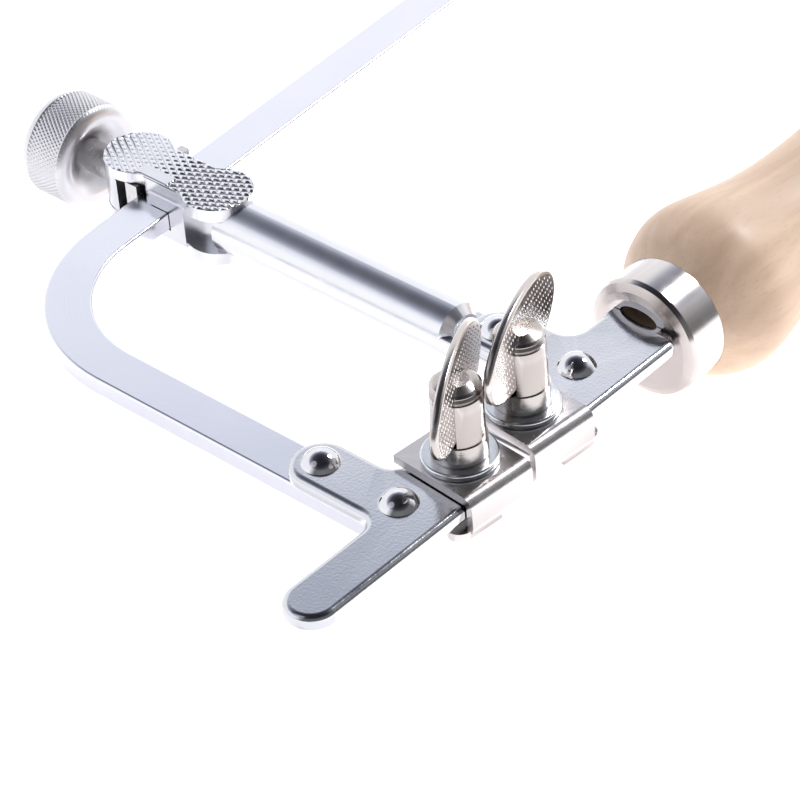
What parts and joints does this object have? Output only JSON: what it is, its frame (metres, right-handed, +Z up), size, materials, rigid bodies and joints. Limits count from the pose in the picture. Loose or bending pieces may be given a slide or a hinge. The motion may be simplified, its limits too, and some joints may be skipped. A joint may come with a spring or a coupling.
{
  "type": "coping saw",
  "caption": "Adjustable coping saw frame without a blade: square steel back bar sliding through a knob-locked head, two blade clamps with thumb screws and a turned wooden handle.",
  "frame": {"origin": "on the handle plate's top face at the centre line of its blade clamp, where the blade's handle end is gripped", "axes": "+X from the nose to the handle along the blade line, +Y from the blade line to the back bar in the plane of the frame, +Z up through the clamp screws as the saw lies flat"},
  "size_m": [0.1883, 0.114, 0.0377],
  "materials": {
    "handle_wood": "smooth, clear lacquered, satin",
    "ferrule_nickel": "bright nickel plate",
    "plate_chrome": "chrome plate over a rolled surface, slightly rippled",
    "bar_chrome": "satin chrome with fine lengthwise lines",
    "rod_chrome": "polished chrome plate",
    "rivet_chrome": "mirror polish",
    "jaw_nickel": "satin nickel plate",
    "washer_zinc": "bright zinc plate",
    "screw_nickel": "turned and nickel plated",
    "wing_nickel": "nickel plate, faces stamped with rows of small raised dots",
    "shoe_steel": "plain bright steel",
    "knob_nickel": "matt nickel with a fine diamond knurl"
  },
  "bodies": {
    "frame": {"handle": "handle_wood", "ferrule": "ferrule_nickel", "handle_plate": "plate_chrome", "arm_rod": "rod_chrome", "handle_rivet_inner": "rivet_chrome", "handle_rivet_outer": "rivet_chrome"},
    "nose_arm": {"nose_plate": "plate_chrome", "back_bar": "bar_chrome", "nose_rivet_inner": "rivet_chrome", "nose_rivet_outer": "rivet_chrome"},
    "nose_saddle": {"nose_jaw": "jaw_nickel", "nose_washer": "washer_zinc"},
    "nose_thumb_screw": {"nose_screw": "screw_nickel", "nose_thumb_plate": "wing_nickel"},
    "handle_saddle": {"handle_jaw": "jaw_nickel", "handle_washer": "washer_zinc"},
    "handle_thumb_screw": {"handle_screw": "screw_nickel", "handle_thumb_plate": "wing_nickel"},
    "bar_shoe": {"pressure_shoe": "shoe_steel"},
    "lock_knob": {"clamp_screw": "screw_nickel", "clamp_knob": "knob_nickel"}
  },
  "joints": [
    {"name": "frame_slide", "type": "slide", "parent": "frame", "child": "nose_arm", "axis": [-0.9977, -0.068, 0], "range_m": [0, 0.12]},
    {"name": "nose_saddle_lift", "type": "slide", "parent": "nose_arm", "child": "nose_saddle", "axis": [0, 0, 1], "range_m": [0, 0.00011]},
    {"name": "nose_screw_turn", "type": "hinge", "parent": "nose_saddle", "child": "nose_thumb_screw", "pos_m": [-0.0122, 0.0043, 0.003], "axis": [0, 0, 1], "range_deg": [0, 50]},
    {"name": "handle_saddle_lift", "type": "slide", "parent": "frame", "child": "handle_saddle", "axis": [0, 0, 1], "range_m": [0, 0.000155]},
    {"name": "handle_screw_turn", "type": "hinge", "parent": "handle_saddle", "child": "handle_thumb_screw", "pos_m": [0, 0.0043, 0.003], "axis": [0, 0, 1], "range_deg": [0, 70]},
    {"name": "shoe_retract", "type": "slide", "parent": "frame", "child": "bar_shoe", "axis": [0, 1, 0], "range_m": [0, 0.00126]},
    {"name": "knob_turn", "type": "hinge", "parent": "bar_shoe", "child": "lock_knob", "pos_m": [0.0124, 0.0954, -0.00395], "axis": [0, 1, 0], "range_deg": [0, 450]}
  ],
  "couplings": [
    {"joint": "nose_screw_turn", "follows": "nose_saddle_lift", "rad_per_m": 7854},
    {"joint": "handle_screw_turn", "follows": "handle_saddle_lift", "rad_per_m": 7854},
    {"joint": "shoe_retract", "follows": "knob_turn", "m_per_rad": 0.00015915}
  ]
}
